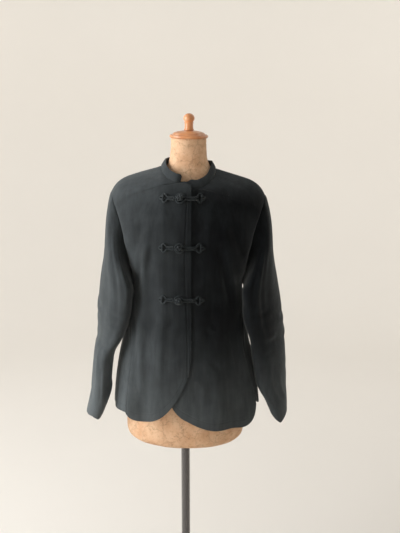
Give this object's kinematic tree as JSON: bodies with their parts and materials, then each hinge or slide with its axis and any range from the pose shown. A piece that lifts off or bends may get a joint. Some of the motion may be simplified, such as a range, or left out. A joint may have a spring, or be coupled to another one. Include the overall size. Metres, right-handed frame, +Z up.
{
  "type": "tang jacket on a dress form with stand",
  "caption": "Hip-length black velvet jacket with stand collar, knotted loop closures and rounded hem, hung on a limbless linen dress form with a wooden neck cap and round weighted stand.",
  "frame": {"origin": "centre of the stand base's flat underside, on the floor", "axes": "+Z up along the pole; the jacket's front faces -Y; the wearer's right sleeve is at -X"},
  "size_m": [0.5666, 0.41, 1.5799],
  "materials": {
    "velvet": "soft black cotton velvet with a short nap",
    "frog_cord": "bias-cut velvet cord, knotted",
    "form_linen": "aged linen and paper glued over a hollow shell, matt",
    "cap_wood": "turned hardwood, orange-brown varnish, satin",
    "pole_steel": "gloss black lacquer on steel tube",
    "base_iron": "satin black paint on cast iron"
  },
  "bodies": {
    "root": {"stand_base": "base_iron", "pole": "pole_steel", "form_body": "form_linen", "neck_cap": "cap_wood", "cap_knob": "cap_wood", "front_right": "velvet", "front_left": "velvet", "back": "velvet", "sleeve_right": "velvet", "sleeve_left": "velvet", "collar": "velvet", "frog_top_knot": "frog_cord", "frog_top_tail": "frog_cord", "frog_top_loop": "frog_cord", "frog_middle_knot": "frog_cord", "frog_middle_tail": "frog_cord", "frog_middle_loop": "frog_cord", "frog_low_knot": "frog_cord", "frog_low_tail": "frog_cord", "frog_low_loop": "frog_cord"}
  },
  "joints": []
}
